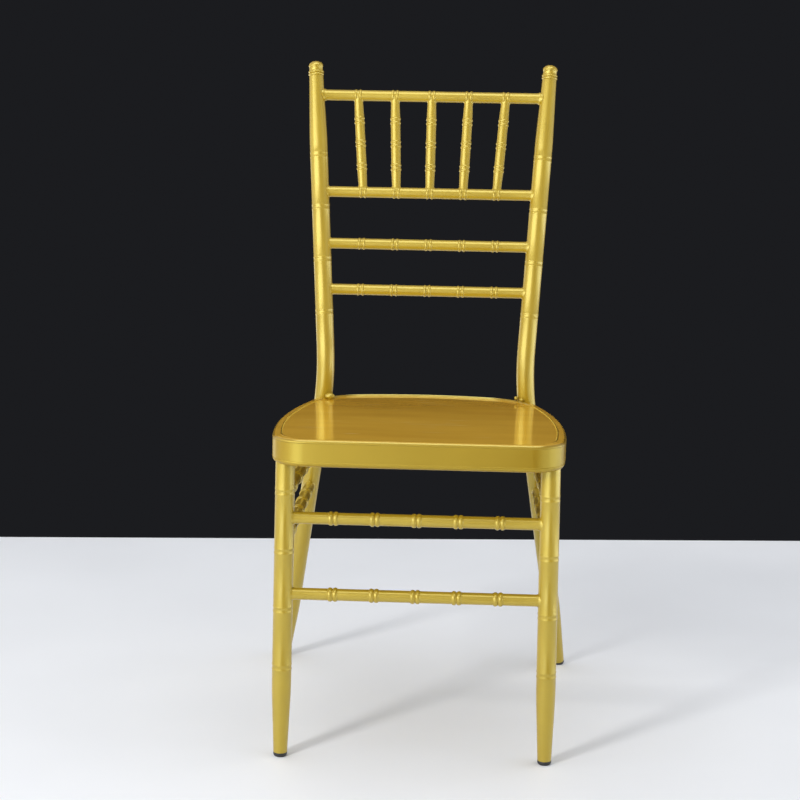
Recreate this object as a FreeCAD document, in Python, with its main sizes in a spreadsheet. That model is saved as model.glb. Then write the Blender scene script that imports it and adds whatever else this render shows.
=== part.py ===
"""Banquet chair: a welded frame of round steel tube with ringed bars and a pressed seat pan.

Frame: +X to the right when the chair is seen from its front, +Y to its back, +Z up.
The origin lies on the floor, in the middle of the chair's box. Millimetres.
"""
import FreeCAD, Part
import math
import os
import Sketcher

doc = FreeCAD.newDocument("banquet_chair")
sheet = doc.addObject("Spreadsheet::Sheet", "sizes")
Vector = FreeCAD.Vector
UP = Vector(0, 0, 1)


class Size:
    """A length that knows its number and the formula that gives it in the document."""

    def __init__(self, value, formula):
        self.value = float(value)
        self.formula = formula

    @staticmethod
    def of(other):
        return other if isinstance(other, Size) else Size(other, repr(float(other)))

    def __add__(self, other):
        other = Size.of(other)
        return Size(self.value + other.value, f"({self.formula} + {other.formula})")

    def __sub__(self, other):
        other = Size.of(other)
        return Size(self.value - other.value, f"({self.formula} - {other.formula})")

    def __mul__(self, other):
        other = Size.of(other)
        return Size(self.value * other.value, f"({self.formula} * {other.formula})")

    def __truediv__(self, other):
        other = Size.of(other)
        return Size(self.value / other.value, f"({self.formula} / {other.formula})")

    def root(self):
        return Size(math.sqrt(self.value), f"sqrt({self.formula})")


NONE = Size(0, "0")
row_count = 0


def size(alias, value):
    """Write one driving dimension into the sheet and hand it back."""
    global row_count
    row_count += 1
    sheet.set(f"A{row_count}", alias)
    sheet.set(f"B{row_count}", str(value))
    sheet.setAlias(f"B{row_count}", alias)
    return Size(value, f"sizes.{alias}")


# Overall
overall_height = size("overall_height", 920)
fit_clearance = size("fit_clearance", 0.15)

# Seat pan: Y is counted from the line of the front legs
seat_height = size("seat_height", 434)
pan_skirt = size("pan_skirt_height", 36)
pan_sheet = size("pan_sheet", 1.0)
pan_front = size("pan_front_overhang", 32)
pan_behind_bend = size("pan_behind_bend", 46)
pan_half_width = size("pan_half_width", 193.5)
pan_widest_at = size("pan_widest_at", 85)
pan_side_radius = size("pan_side_radius", 670)
pan_rear_radius = size("pan_rear_radius", 400)
pan_front_corner = size("pan_front_corner", 45)
pan_rear_corner = size("pan_rear_corner", 15)
pan_shoulder = size("pan_shoulder", 5)
pan_lip = size("pan_lip", 7)
pan_lip_edge = size("pan_lip_edge", 1)

# Channels pressed up against the underside of the seat
stiffener_end_inset = size("stiffener_end_inset", 48.5)
stiffener_width = size("stiffener_width", 28)
stiffener_height = size("stiffener_height", 14)
stiffener_sheet = size("stiffener_sheet", 1.2)
stiffener_front_at = size("stiffener_front_at", 80)
stiffener_rear_at = size("stiffener_rear_at", 215)

# Front legs, set in from the widest part of the seat; the ring pairs lie between a lowest
# pair counted from the floor and a highest pair counted down from the seat
leg_radius = size("leg_radius", 12.8)
leg_wall = size("leg_wall", 1.2)
leg_inset = size("leg_inset", 22.9)
leg_splay = size("leg_splay", 4.7)
foot_radius = size("foot_radius", 9.2)
foot_taper = size("foot_taper_length", 88)
leg_ring_start = size("leg_ring_start", 124)
leg_ring_drop = size("leg_ring_drop", 73.7)
leg_ring_count = 4

# Rear posts: foot, bend and top of the tube's middle line; the ring pairs lie between a lowest
# pair counted from the bend and a highest pair counted down from the finial
post_radius = size("post_radius", 12.9)
post_wall = size("post_wall", 1.2)
post_foot_x = size("post_foot_x", 216.5)
post_foot_back = size("post_foot_back", 422.5)
post_bend_x = size("post_bend_x", 143.8)
post_bend_back = size("post_bend_back", 300)
post_bend_rise = size("post_bend_rise", 30)
post_top_x = size("post_top_x", 172)
post_top_back = size("post_top_back", 386)
post_bend_radius = size("post_bend_radius", 190)
post_top_radius = size("post_top_radius", 10.2)
post_top_taper = size("post_top_taper", 90)
post_ring_start = size("post_ring_start", 96)
post_ring_drop = size("post_ring_drop", 116.7)
post_ring_count = 4

# Rings rolled into the tubes, always in pairs: full beads on the stretchers, narrow ones on the
# rails of the back, and faint ones on the legs and posts
ring_gap = size("ring_gap", 6.6)
ring_round = size("ring_round", 4.2)
leg_ring_rise = size("leg_ring_rise", 0.3)
stretcher_ring_rise = size("stretcher_ring_rise", 1.5)
rail_ring_round = size("rail_ring_round", 2.4)
rail_ring_rise = size("rail_ring_rise", 1.0)

# Round bars: the stretchers hang down from the seat pan and the rails of the back down from the
# top of the chair, each counted from the bar above it
bar_radius = size("bar_radius", 7.8)
bar_wall = size("bar_wall", 1.0)
bar_ring_step = size("bar_ring_step", 54)
bar_ring_count = 5
front_stretcher_drop = size("front_stretcher_drop", 73)
front_stretcher_gap = size("front_stretcher_gap", 102)
side_stretcher_drop = size("side_stretcher_drop", 44)
side_stretcher_gap = size("side_stretcher_gap", 61)
rear_stretcher_drop = size("rear_stretcher_drop", 58)
top_rail_drop = size("top_rail_drop", 48.5)
spindle_rail_drop = size("spindle_rail_drop", 139.5)
middle_rail_drop = size("middle_rail_drop", 74.5)
lower_rail_drop = size("lower_rail_drop", 66)

# Spindles fan out between the two upper rails
spindle_end_radius = size("spindle_end_radius", 6.3)
spindle_middle_radius = size("spindle_middle_radius", 7)
spindle_wall = size("spindle_wall", 1.0)
spindle_top_step = size("spindle_top_step", 54)
spindle_bottom_step = size("spindle_bottom_step", 48.7)
spindle_ring_step = size("spindle_ring_step", 34)
spindle_ring_rise = size("spindle_ring_rise", 0.8)
spindle_ring_round = size("spindle_ring_round", 3)
spindle_ring_gap = size("spindle_ring_gap", 6.2)
spindle_ring_count = 3
spindle_count = 5

# Finials on the posts
finial_height = size("finial_height", 21.8)
finial_ring_radius = size("finial_ring_radius", 11.4)
finial_ring_round = size("finial_ring_round", 1.9)
finial_neck_radius = size("finial_neck_radius", 9.9)
finial_dome_radius = size("finial_dome_radius", 10.7)
finial_dome_height = size("finial_dome_height", 7.4)
finial_spigot = size("finial_spigot", 15)

# Glides plugged into the feet
glide_rise = size("glide_rise", 5.5)
glide_sunk = size("glide_plug_length", 14)
glide_edge = size("glide_edge", 2.2)

doc.recompute()

# Places that follow from the sizes
seat_underside = seat_height - pan_sheet
pan_bottom = seat_height - pan_skirt
pan_back = post_bend_back + pan_behind_bend
leg_top_x = pan_half_width - leg_inset
leg_foot_x = leg_top_x + leg_splay
post_bend_height = seat_height + post_bend_rise
front_upper_height = pan_bottom - front_stretcher_drop
front_lower_height = front_upper_height - front_stretcher_gap
side_upper_height = pan_bottom - side_stretcher_drop
side_lower_height = side_upper_height - side_stretcher_gap
rear_height = pan_bottom - rear_stretcher_drop
top_rail_height = overall_height - top_rail_drop
spindle_rail_height = top_rail_height - spindle_rail_drop
middle_rail_height = spindle_rail_height - middle_rail_drop
lower_rail_height = middle_rail_height - lower_rail_drop


def span(across, back, height):
    return (across * across + back * back + height * height).root()


# The box of the chair runs from the front of the pan to the back of the rear glides, which are
# widest just above their bevelled edge
leg_run = span(post_foot_x - post_bend_x, post_foot_back - post_bend_back, post_bend_height)
leg_lean = (post_foot_back - post_bend_back) / leg_run
leg_upright = (NONE + 1 - leg_lean * leg_lean).root()
rear_reach = post_foot_back + foot_radius * leg_upright - glide_edge * leg_lean
box_middle = (rear_reach - pan_front) / 2


def at(x, back, height):
    """A point of the chair from sizes, with Y moved to the middle of the box."""
    return Vector(x.value, back.value - box_middle.value, height.value)


def mirrored(point, side):
    return Vector(side * point.x, point.y, point.z)


def between(low, high, start, end, height):
    """The size at a height on a straight line from (low, start) to (high, end)."""
    return start + (end - start) * (height - low) / (high - low)


def leg_x(height):
    return between(NONE, seat_height, leg_foot_x, leg_top_x, height)


def lower_post_x(height):
    return between(NONE, post_bend_height, post_foot_x, post_bend_x, height)


def lower_post_back(height):
    return between(NONE, post_bend_height, post_foot_back, post_bend_back, height)


def upper_post_x(height):
    return between(post_bend_height, overall_height, post_bend_x, post_top_x, height)


def upper_post_back(height):
    return between(post_bend_height, overall_height, post_bend_back, post_top_back, height)


def along(start, direction):
    """The placement that lays an object's own Z axis on a line in the chair."""
    return FreeCAD.Placement(start, FreeCAD.Rotation(UP, direction))


def bind(target, prop, length):
    target.setExpression(prop, length.formula)


def origin_plane(body, role):
    return next(item for item in body.Origin.OriginFeatures if item.Role == role)


def new_sketch(body, role, name):
    sketch = body.newObject("Sketcher::SketchObject", name)
    sketch.AttachmentSupport = (origin_plane(body, role), [""])
    sketch.MapMode = "FlatFace"
    return sketch


def hold(sketch, kind, axis, geometry, point, length):
    """Fix one coordinate of a sketch point to a size."""
    if length.value == 0:
        sketch.addConstraint(Sketcher.Constraint("PointOnObject", geometry, point, axis))
    elif length.value > 0:
        index = sketch.addConstraint(Sketcher.Constraint(kind, -1, 1, geometry, point, length.value))
        sketch.setExpression(f"Constraints[{index}]", length.formula)
    else:
        index = sketch.addConstraint(Sketcher.Constraint(kind, geometry, point, -1, 1, -length.value))
        sketch.setExpression(f"Constraints[{index}]", f"-{length.formula}")


def hold_point(sketch, geometry, point, across, up):
    hold(sketch, "DistanceX", -2, geometry, point, across)
    hold(sketch, "DistanceY", -1, geometry, point, up)


def hold_radius(sketch, geometry, radius):
    index = sketch.addConstraint(Sketcher.Constraint("Radius", geometry, radius.value))
    sketch.setExpression(f"Constraints[{index}]", radius.formula)


def polygon(sketch, corners):
    """A closed outline of straight lines, each corner held by its two sizes."""
    points = [Vector(across.value, up.value, 0) for across, up in corners]
    for index, point in enumerate(points):
        sketch.addGeometry(Part.LineSegment(point, points[(index + 1) % len(points)]), False)
    for index in range(len(points)):
        follower = (index + 1) % len(points)
        sketch.addConstraint(Sketcher.Constraint("Coincident", index, 2, follower, 1))
    for index, (across, up) in enumerate(corners):
        hold_point(sketch, index, 1, across, up)


def turned(name, placement, corners):
    """A body turned about its own Z axis from an outline of (radius, distance) corners."""
    body = doc.addObject("PartDesign::Body", name)
    sketch = new_sketch(body, "XZ_Plane", name + "_outline")
    polygon(sketch, corners)
    spin = body.newObject("PartDesign::Revolution", name + "_spin")
    spin.Profile = sketch
    spin.ReferenceAxis = (sketch, ["V_Axis"])
    spin.Angle = 360
    body.Placement = placement
    return body


def add_ring_pairs(body, radius, first, step, count, gap, ring_radius, rise):
    """Roll a row of ring pairs round a turned body, the first pair at a distance up its axis."""
    name = body.Name + "_rings"
    sketch = new_sketch(body, "XZ_Plane", name + "_outline")
    across = radius + rise - ring_radius
    for index, up in enumerate((first - gap / 2, first + gap / 2)):
        centre = Vector(across.value, up.value, 0)
        sketch.addGeometry(Part.Circle(centre, UP, ring_radius.value), False)
        hold_point(sketch, index, 3, across, up)
        hold_radius(sketch, index, ring_radius)
    spin = body.newObject("PartDesign::Revolution", name + "_spin")
    spin.Profile = sketch
    spin.ReferenceAxis = (sketch, ["V_Axis"])
    spin.Angle = 360
    row = body.newObject("PartDesign::LinearPattern", name + "_row")
    row.Originals = [spin]
    row.Direction = (sketch, ["V_Axis"])
    bind(row, "Length", step * (count - 1))
    row.Occurrences = count
    body.Tip = row


def cylinder(name, placement, radius, length):
    solid = doc.addObject("Part::Cylinder", name)
    bind(solid, "Radius", radius)
    bind(solid, "Height", length)
    solid.Placement = placement
    return solid


def torus(name, placement, radius, round_radius, sweep=360):
    solid = doc.addObject("Part::Torus", name)
    bind(solid, "Radius1", radius)
    bind(solid, "Radius2", round_radius)
    solid.Angle3 = sweep
    solid.Placement = placement
    return solid


def fused(name, solids):
    whole = doc.addObject("Part::MultiFuse", name)
    whole.Shapes = solids
    return whole


def trimmed(name, solid, cutters):
    """Cut a solid by others, one after another, as a tube end is coped to what it meets."""
    for index, cutter in enumerate(cutters):
        cut = doc.addObject("Part::Cut", f"{name}_trim_{index}")
        cut.Base = solid
        cut.Tool = cutter
        solid = cut
    return solid


nodes = []


def finish(label, solid):
    solid.Label = label
    nodes.append(solid)


def slab(name, low, height):
    """A flat block wider than the chair, used to cut it level."""
    block = doc.addObject("Part::Box", name)
    reach = overall_height * 2
    bind(block, "Length", reach)
    bind(block, "Width", reach)
    bind(block, "Height", height)
    block.Placement.Base = Vector(-reach.value / 2, -reach.value / 2, low.value)
    return block


below_floor = slab("below_floor", NONE - overall_height, overall_height)
above_seat_sheet = slab("above_seat_sheet", seat_underside, seat_height)


def glide(label, foot, direction, tube_wall):
    """A plastic plug with a bevelled sole, pushed into the foot of a leg and cut level with the floor."""
    head = glide_rise * 2
    sole_radius = foot_radius - glide_edge
    plug_radius = foot_radius - tube_wall - fit_clearance
    corners = [
        (NONE, NONE),
        (sole_radius, NONE),
        (sole_radius, glide_rise),
        (foot_radius, glide_rise + glide_edge),
        (foot_radius, head),
        (plug_radius, head),
        (plug_radius, head + glide_sunk),
        (NONE, head + glide_sunk),
    ]
    start = foot + direction * (glide_rise.value - head.value)
    plug = turned(label + "_plug", along(start, direction), corners)
    finish(label, trimmed(label, plug, [below_floor]))


def front_leg(side_name, side):
    """A straight tube, drawn thinner at the foot, that ends under the sheet of the seat."""
    label = "front_leg_" + side_name
    foot = mirrored(at(leg_foot_x, NONE, NONE), side)
    top = mirrored(at(leg_top_x, NONE, seat_height), side)
    direction = (top - foot).normalize()
    placement = along(foot + direction * glide_rise.value, direction)
    sideways = leg_foot_x - leg_top_x
    length = (sideways * sideways + seat_height * seat_height).root()

    def outline(inset):
        return [
            (NONE, NONE),
            (foot_radius - inset, NONE),
            (leg_radius - inset, foot_taper),
            (leg_radius - inset, length),
            (NONE, length),
        ]

    whole = turned(label + "_whole", placement, outline(NONE))
    ring_step = (seat_height - leg_ring_drop - leg_ring_start) / (leg_ring_count - 1)
    add_ring_pairs(whole, leg_radius, leg_ring_start - glide_rise, ring_step, leg_ring_count,
                   ring_gap, ring_round, leg_ring_rise)
    core = trimmed(label + "_core", whole, [above_seat_sheet])
    bore = turned(label + "_bore", placement, outline(leg_wall))
    finish(label, trimmed(label, core, [bore]))
    glide("foot_glide_front_" + side_name, foot, direction, leg_wall)
    return core


def rear_post(side_name, side):
    """One bent tube: splayed rear leg, bend at the seat, and leaning back post with a finial."""
    label = "rear_post_" + side_name
    foot = mirrored(at(post_foot_x, post_foot_back, NONE), side)
    bend = mirrored(at(post_bend_x, post_bend_back, post_bend_height), side)
    top = mirrored(at(post_top_x, post_top_back, overall_height), side)
    leg_way = (bend - foot).normalize()
    post_way = (top - bend).normalize()
    turn = leg_way.getAngle(post_way)

    tangent = post_bend_radius * math.tan(turn / 2)
    post_run = span(post_top_x - post_bend_x, post_top_back - post_bend_back,
                    overall_height - post_bend_height)
    leg_length = leg_run - tangent - glide_rise
    post_length = post_run - tangent - finial_height
    leg_end = along(foot + leg_way * glide_rise.value, leg_way)
    post_start = along(bend + post_way * tangent.value, post_way)
    bend_start = bend - leg_way * tangent.value
    inward = (post_way - leg_way).normalize()
    centre = bend + inward * (post_bend_radius.value / math.cos(turn / 2))
    outward = (bend_start - centre).normalize()
    bend_turn = FreeCAD.Rotation(outward, leg_way, outward.cross(leg_way), "ZXY")
    bend_place = FreeCAD.Placement(centre, bend_turn)

    def tube(name, inset):
        leg = turned(name + "_leg", leg_end, [
            (NONE, NONE),
            (foot_radius - inset, NONE),
            (post_radius - inset, foot_taper),
            (post_radius - inset, leg_length),
            (NONE, leg_length),
        ])
        elbow = torus(name + "_elbow", bend_place, post_bend_radius, post_radius - inset,
                      math.degrees(turn))
        post = turned(name + "_post", post_start, [
            (NONE, NONE),
            (post_radius - inset, NONE),
            (post_radius - inset, post_length - post_top_taper),
            (post_top_radius - inset, post_length),
            (NONE, post_length),
        ])
        return leg, elbow, post

    leg, elbow, post = tube(label + "_core", NONE)
    ring_step = (post_run - finial_height - post_ring_drop - post_ring_start) / (post_ring_count - 1)
    add_ring_pairs(post, post_radius, post_ring_start - tangent, ring_step, post_ring_count,
                   ring_gap, ring_round, leg_ring_rise)
    core = fused(label + "_core", [leg, elbow, post])
    bore = fused(label + "_bore", list(tube(label + "_bore", post_wall)))
    finish(label, trimmed(label, core, [bore]))
    glide("foot_glide_rear_" + side_name, foot, leg_way, post_wall)
    finial("finial_" + side_name, top - post_way * finial_height.value, post_way)
    return core


def finial(label, base, direction):
    """A turned knob with two rings and a dome, pressed into the top of the post."""
    spigot_radius = post_top_radius - post_wall - fit_clearance
    ring_middle = finial_ring_radius - finial_ring_round
    dome_at = finial_height - finial_dome_height
    dome = doc.addObject("Part::Ellipsoid", label + "_dome")
    bind(dome, "Radius1", finial_dome_height)
    bind(dome, "Radius2", finial_dome_radius)
    dome.Placement = along(base + direction * dome_at.value, direction)
    pieces = [
        cylinder(label + "_spigot", along(base - direction * finial_spigot.value, direction),
                 spigot_radius, finial_spigot),
        cylinder(label + "_neck", along(base, direction), finial_neck_radius, dome_at),
        torus(label + "_low_ring", along(base + direction * finial_ring_round.value, direction),
              ring_middle, finial_ring_round),
        torus(label + "_high_ring", along(base + direction * finial_ring_round.value * 3, direction),
              ring_middle, finial_ring_round),
        dome,
    ]
    finish(label, fused(label + "_knob", pieces))


def ringed_bar(label, start, end, length, ring_step, ring, neighbours):
    """A tube with ring pairs, coped at both ends to the tubes that it runs between."""
    round_radius, rise = ring
    direction = (end - start).normalize()
    placement = along(start, direction)
    core = turned(label + "_core", placement, [
        (NONE, NONE),
        (bar_radius, NONE),
        (bar_radius, length),
        (NONE, length),
    ])
    first = (length - ring_step * (bar_ring_count - 1)) / 2
    add_ring_pairs(core, bar_radius, first, ring_step, bar_ring_count, ring_gap, round_radius, rise)
    bore = cylinder(label + "_bore", placement, bar_radius - bar_wall, length)
    finish(label, trimmed(label, core, [bore] + neighbours))
    return core


stretcher_ring = (ring_round, stretcher_ring_rise)
rail_ring = (rail_ring_round, rail_ring_rise)


def crossbar(label, half_length, back, height, ring_step, ring, neighbours):
    """A ringed bar that runs level across the chair."""
    end = at(half_length, back, height)
    return ringed_bar(label, mirrored(end, -1), end, half_length * 2, ring_step, ring, neighbours)


def back_rail(label, height, ring_step, posts):
    half_length = upper_post_x(height)
    return crossbar(label, half_length, upper_post_back(height), height, ring_step, rail_ring, posts)


def front_stretcher(label, height, legs):
    crossbar(label, leg_x(height), NONE, height, bar_ring_step, stretcher_ring, legs)


def rear_stretcher(label, height, posts):
    half_length = lower_post_x(height)
    crossbar(label, half_length, lower_post_back(height), height, bar_ring_step, stretcher_ring, posts)


def side_stretcher(label, side, height, neighbours):
    start = mirrored(at(leg_x(height), NONE, height), side)
    end = mirrored(at(lower_post_x(height), lower_post_back(height), height), side)
    spread = lower_post_x(height) - leg_x(height)
    back = lower_post_back(height)
    length = (spread * spread + back * back).root()
    ringed_bar(label, start, end, length, bar_ring_step, stretcher_ring, neighbours)


def spindle(label, place, rails):
    """A slim tube with three ring pairs, drawn thinner from the outer pairs to its two ends."""
    low = at(spindle_bottom_step * place, upper_post_back(spindle_rail_height), spindle_rail_height)
    high = at(spindle_top_step * place, upper_post_back(top_rail_height), top_rail_height)
    spread = (spindle_top_step - spindle_bottom_step) * place
    back = upper_post_back(top_rail_height) - upper_post_back(spindle_rail_height)
    rise = top_rail_height - spindle_rail_height
    length = (spread * spread + back * back + rise * rise).root()
    direction = (high - low).normalize()
    placement = along(low, direction)
    first = (length - spindle_ring_step * (spindle_ring_count - 1)) / 2
    core = turned(label + "_core", placement, [
        (NONE, NONE),
        (spindle_end_radius, NONE),
        (spindle_middle_radius, first),
        (spindle_middle_radius, length - first),
        (spindle_end_radius, length),
        (NONE, length),
    ])
    add_ring_pairs(core, spindle_middle_radius, first, spindle_ring_step, spindle_ring_count,
                   spindle_ring_gap, spindle_ring_round, spindle_ring_rise)
    bore = cylinder(label + "_bore", placement, spindle_end_radius - spindle_wall, length)
    finish(label, trimmed(label, core, [bore] + rails))


def seat_pan(cutters):
    """Seat and skirt pressed from one sheet, with a rolled-in lip, notched round legs and posts.

    The sketch is the punch that the sheet is drawn over, so the sheet lies outside it.
    """
    label = "seat_pan"
    body = doc.addObject("PartDesign::Body", label + "_pressing")
    sketch = new_sketch(body, "XY_Plane", label + "_outline")
    side_radius = pan_side_radius - pan_sheet
    rear_radius = pan_rear_radius - pan_sheet
    side_centre_x = pan_half_width - pan_side_radius
    rear_centre = pan_back - pan_rear_radius
    front = pan_sheet - pan_front
    front_x = side_centre_x.value + math.sqrt(
        side_radius.value ** 2 - (front.value - pan_widest_at.value) ** 2)
    right = Vector(side_centre_x.value, pan_widest_at.value, 0)
    rear = Vector(0, rear_centre.value, 0)

    # Rear corner: where the side arc and the rear arc cross
    gap = right.distanceToPoint(rear)
    to_side = (right - rear).normalize()
    reach = (gap ** 2 + rear_radius.value ** 2 - side_radius.value ** 2) / (2 * gap)
    lift = math.sqrt(rear_radius.value ** 2 - reach ** 2)
    corner = rear + to_side * reach + Vector(to_side.y, -to_side.x, 0) * lift
    if corner.y < rear.y:
        corner = rear + to_side * reach - Vector(to_side.y, -to_side.x, 0) * lift

    def arc(centre, radius, start, end):
        start_angle = math.atan2(start.y - centre.y, start.x - centre.x)
        end_angle = math.atan2(end.y - centre.y, end.x - centre.x)
        circle = Part.Circle(centre, UP, radius.value)
        return Part.ArcOfCircle(circle, start_angle, end_angle)

    front_right = Vector(front_x, front.value, 0)
    front_left = Vector(-front_x, front.value, 0)
    left = Vector(-right.x, right.y, 0)
    rear_left = Vector(-corner.x, corner.y, 0)
    line, right_arc, rear_arc, left_arc = range(4)
    sketch.addGeometry(Part.LineSegment(front_left, front_right), False)
    sketch.addGeometry(arc(right, side_radius, front_right, corner), False)
    sketch.addGeometry(arc(rear, rear_radius, corner, rear_left), False)
    sketch.addGeometry(arc(left, side_radius, rear_left, front_left), False)
    for first, second in ((line, right_arc), (right_arc, rear_arc), (rear_arc, left_arc), (left_arc, line)):
        sketch.addConstraint(Sketcher.Constraint("Coincident", first, 2, second, 1))
    sketch.addConstraint(Sketcher.Constraint("Horizontal", line))
    hold(sketch, "DistanceY", -1, line, 1, front)
    hold_point(sketch, right_arc, 3, side_centre_x, pan_widest_at)
    hold_point(sketch, left_arc, 3, NONE - side_centre_x, pan_widest_at)
    hold_point(sketch, rear_arc, 3, NONE, rear_centre)
    hold_radius(sketch, right_arc, side_radius)
    hold_radius(sketch, left_arc, side_radius)
    hold_radius(sketch, rear_arc, rear_radius)

    block = body.newObject("PartDesign::Pad", label + "_block")
    block.Profile = sketch
    block_height = pan_skirt + pan_lip_edge - pan_sheet
    bind(block, "Length", block_height)
    body.Placement.Base = at(NONE, NONE, pan_bottom - pan_lip_edge)

    def rounded(name, base, radius, wanted):
        doc.recompute()
        edges = []
        for index, edge in enumerate(base.Shape.Edges, start=1):
            if wanted(edge.BoundBox):
                edges.append(f"Edge{index}")
        fillet = body.newObject("PartDesign::Fillet", name)
        fillet.Base = (base, edges)
        bind(fillet, "Radius", radius)
        return fillet

    thin = 0.01

    def upright(box):
        return box.XLength < thin and box.YLength < thin

    def front_upright(box):
        return upright(box) and box.YMin < pan_widest_at.value

    def rear_upright(box):
        return upright(box) and box.YMin > pan_widest_at.value

    def top_edge(box):
        return box.ZMin > block_height.value - thin

    def bottom_edge(box):
        return box.ZMax < thin

    base = rounded(label + "_front_corners", block, pan_front_corner - pan_sheet, front_upright)
    base = rounded(label + "_rear_corners", base, pan_rear_corner - pan_sheet, rear_upright)
    base = rounded(label + "_shoulder", base, pan_shoulder - pan_sheet, top_edge)
    base = rounded(label + "_lip", base, pan_lip - pan_sheet, bottom_edge)
    doc.recompute()
    mouth = []
    for index, face in enumerate(base.Shape.Faces, start=1):
        if face.BoundBox.ZMax < thin:
            mouth.append(f"Face{index}")
    shell = body.newObject("PartDesign::Thickness", label + "_sheet")
    shell.Base = (base, mouth)
    bind(shell, "Value", pan_sheet)
    shell.Reversed = False
    below_pan = slab("below_pan", pan_bottom - overall_height, overall_height)
    finish(label, trimmed(label, body, [below_pan] + cutters))


def seat_stiffener(label, back):
    """A pressed channel welded up against the underside of the seat, open side up."""
    body = doc.addObject("PartDesign::Body", label + "_channel")
    sketch = new_sketch(body, "YZ_Plane", label + "_section")
    half = stiffener_width / 2
    polygon(sketch, [
        (NONE - half, NONE),
        (half, NONE),
        (half, stiffener_height),
        (half - stiffener_sheet, stiffener_height),
        (half - stiffener_sheet, stiffener_sheet),
        (stiffener_sheet - half, stiffener_sheet),
        (stiffener_sheet - half, stiffener_height),
        (NONE - half, stiffener_height),
    ])
    pad = body.newObject("PartDesign::Pad", label + "_run")
    pad.Profile = sketch
    pad.Midplane = True
    bind(pad, "Length", (pan_half_width - stiffener_end_inset) * 2)
    body.Placement.Base = at(NONE, back, seat_underside - stiffener_height)
    finish(label, body)


sides = (("left", -1), ("right", 1))
legs = [front_leg(name, side) for name, side in sides]
posts = [rear_post(name, side) for name, side in sides]

seat_pan(legs + posts)
seat_stiffener("seat_stiffener_front", stiffener_front_at)
seat_stiffener("seat_stiffener_rear", stiffener_rear_at)

top_rail = back_rail("top_rail", top_rail_height, spindle_top_step, posts)
spindle_rail = back_rail("spindle_rail", spindle_rail_height, spindle_bottom_step, posts)
back_rail("middle_back_rail", middle_rail_height, spindle_bottom_step, posts)
back_rail("lower_back_rail", lower_rail_height, spindle_bottom_step, posts)
for number in range(spindle_count):
    spindle(f"spindle_{number + 1}", number - (spindle_count - 1) / 2, [top_rail, spindle_rail])

front_stretcher("front_stretcher_upper", front_upper_height, legs)
front_stretcher("front_stretcher_lower", front_lower_height, legs)
rear_stretcher("rear_stretcher", rear_height, posts)
for (name, side), leg, post in zip(sides, legs, posts):
    side_stretcher("side_stretcher_upper_" + name, side, side_upper_height, [leg, post])
    side_stretcher("side_stretcher_lower_" + name, side, side_lower_height, [leg, post])

doc.recompute()
for item in doc.Objects:
    if "Invalid" in item.State or "Error" in item.State:
        raise RuntimeError(f"{item.Label} failed: {item.State}")
for node in nodes:
    if node.Shape.isNull() or not node.Shape.isValid():
        raise RuntimeError(f"{node.Label} has no valid shape")
    if len(node.Shape.Solids) != 1:
        raise RuntimeError(f"{node.Label} is {len(node.Shape.Solids)} solids")

os.makedirs("parts", exist_ok=True)
for node in nodes:
    node.Shape.exportStep(f"parts/{node.Label}.step")
print(f"{len(nodes)} nodes written")
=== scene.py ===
"""Banquet chair of gold-painted steel tube with a pressed seat. Metres, in the chair's own frame:
+X to the right when the chair is seen from its front, +Y to its back, +Z up, floor at Z = 0."""
import bmesh
import bpy
import math
from mathutils import Matrix, Vector


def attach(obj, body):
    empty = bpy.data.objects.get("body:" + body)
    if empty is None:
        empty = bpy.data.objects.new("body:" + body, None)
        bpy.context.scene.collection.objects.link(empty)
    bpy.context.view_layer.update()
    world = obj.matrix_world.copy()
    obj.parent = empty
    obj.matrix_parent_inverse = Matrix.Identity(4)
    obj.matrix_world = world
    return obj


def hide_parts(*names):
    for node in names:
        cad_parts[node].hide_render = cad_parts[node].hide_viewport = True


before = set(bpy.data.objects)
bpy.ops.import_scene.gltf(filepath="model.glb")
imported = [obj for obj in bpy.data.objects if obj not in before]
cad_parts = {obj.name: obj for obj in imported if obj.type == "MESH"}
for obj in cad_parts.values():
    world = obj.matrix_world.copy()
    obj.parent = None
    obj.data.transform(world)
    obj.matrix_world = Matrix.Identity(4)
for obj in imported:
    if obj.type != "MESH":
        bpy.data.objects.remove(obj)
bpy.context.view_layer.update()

# Rear posts. Each is one round steel tube, 26 mm across, bent at the seat: a splayed rear leg below
# and a leaning back post above. Pairs of rings are rolled into the post, and both ends are drawn
# thinner. A lump of weld tacks it to the seat. Gold metallic paint covers it, with a fine sprayed skin.
front_leg_line = -0.19942
post_foot = Vector((0.2165, 0.4225 + front_leg_line, 0.0))
post_bend = Vector((0.1438, 0.3000 + front_leg_line, 0.464))
post_top = Vector((0.1720, 0.3860 + front_leg_line, 0.920))
post_radius = 0.0129
post_bend_radius = 0.190
post_bend_steps = 16
post_top_radius = 0.0102
post_top_taper = 0.090
post_taper_fall = 0.00008
post_taper_turn = 0.0004
foot_radius = 0.0092
foot_taper = 0.088
foot_edge = 0.0004
taper_soft = 0.012
taper_ease = (0.45, 0.12)
glide_rise = 0.0055
finial_height = 0.0218
ring_gap = 0.0066
ring_round = 0.0042
leg_ring_rise = 0.0003
post_ring_start = 0.096
post_ring_drop = 0.1167
post_ring_count = 4
seat_welds = {
    "left": [((0.1380, 0.0905, 0.4380), (0.0070, 0.0050, 0.0048))],
    "right": [((0.1335, 0.1000, 0.4405), (0.0028, 0.0032, 0.0027)),
              ((0.1410, 0.0925, 0.4395), (0.0030, 0.0028, 0.0022))],
}
weld_wave = 0.05
weld_wave_across = 900
weld_wave_up = 1100
tube_sides = 56
tube_crease = 0.55
noise_low = 0.3
noise_high = 0.7


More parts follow.
